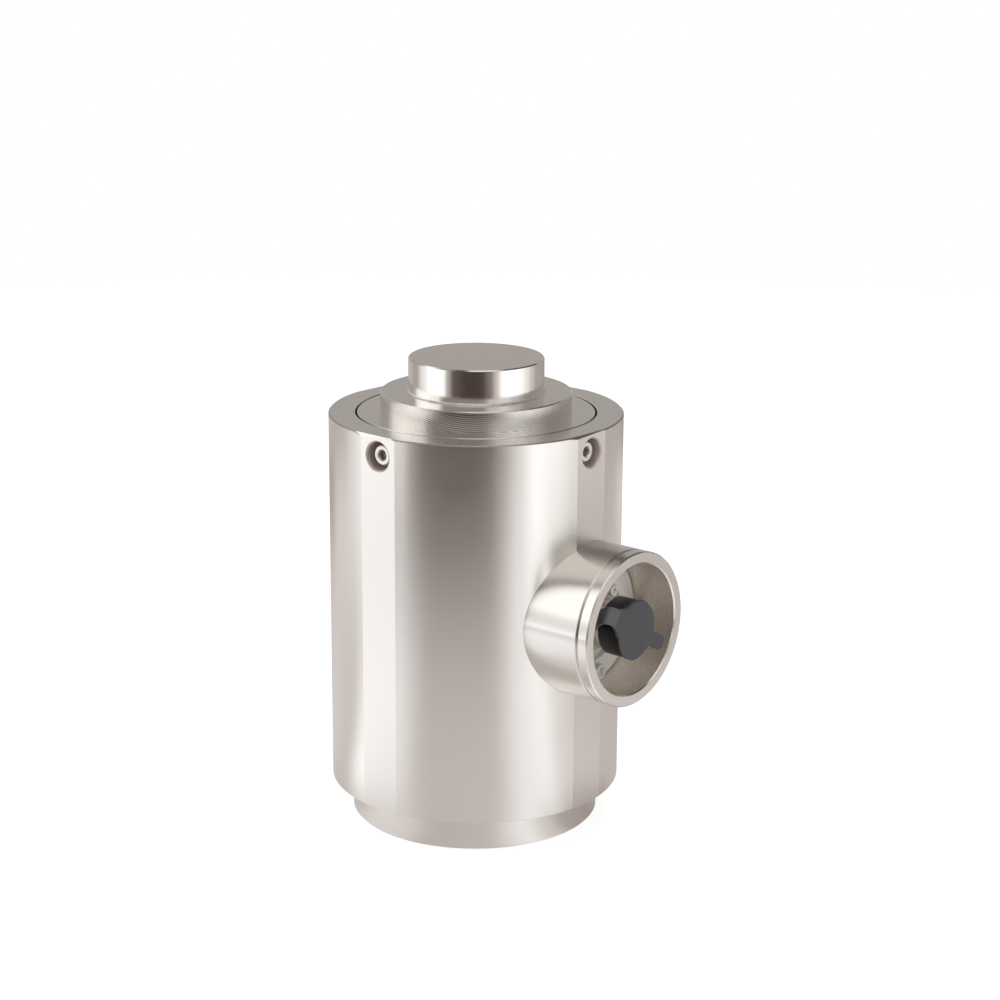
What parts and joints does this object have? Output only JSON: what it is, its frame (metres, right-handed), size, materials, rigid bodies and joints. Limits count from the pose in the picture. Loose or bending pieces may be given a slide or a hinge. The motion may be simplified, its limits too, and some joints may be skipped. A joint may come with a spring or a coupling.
{
  "type": "column load cell",
  "caption": "Compression column load cell: turned column with load button inside a steel sleeve, with a tubular connector guard and a rubber dust cap on the side.",
  "frame": {"origin": "centre of the base's underside, on the load axis", "axes": "+Z along the load axis from base to load button, +X along the connector guard's axis, outwards"},
  "size_m": [0.1783, 0.1484, 0.2414],
  "materials": {
    "load_column": "satin nickel-plated steel, turned",
    "housing_sleeve": "satin nickel-plated steel, turned",
    "connector_guard": "satin nickel-plated steel, turned",
    "connector_plate": "satin nickel-plated steel, turned",
    "receptacle_shell": "nickel-plated light alloy",
    "screws": "bright stainless steel",
    "seal_rubber": "black nitrile rubber",
    "contact_insulator": "moulded dark insulator",
    "contact_pins": "gold-plated brass",
    "dust_cap": "dark grey matt moulded rubber",
    "strain_gauges": "foil on amber carrier film",
    "solder_strips": "laminate with tinned pads",
    "trim_board": "glass-fibre board with green solder mask",
    "board_spacers": "plain brass",
    "trim_resistors": "moulded black",
    "lead_bundle": "black heat-shrink sleeve"
  },
  "bodies": {
    "root": {"load_column": "load_column", "housing_sleeve": "housing_sleeve", "sleeve_screws": "screws", "lower_seal": "seal_rubber", "upper_seal": "seal_rubber", "connector_guard": "connector_guard", "plate_seal": "seal_rubber", "connector_plate": "connector_plate", "plate_screws": "screws", "receptacle_shell": "receptacle_shell", "receptacle_seal": "seal_rubber", "receptacle_screws": "screws", "contact_insulator": "contact_insulator", "contact_pins": "contact_pins", "dust_cap": "dust_cap", "strain_gauges": "strain_gauges", "solder_strips": "solder_strips", "trim_board": "trim_board", "board_spacers": "board_spacers", "board_screws": "screws", "trim_resistors": "trim_resistors", "lead_bundle": "lead_bundle"}
  },
  "joints": []
}
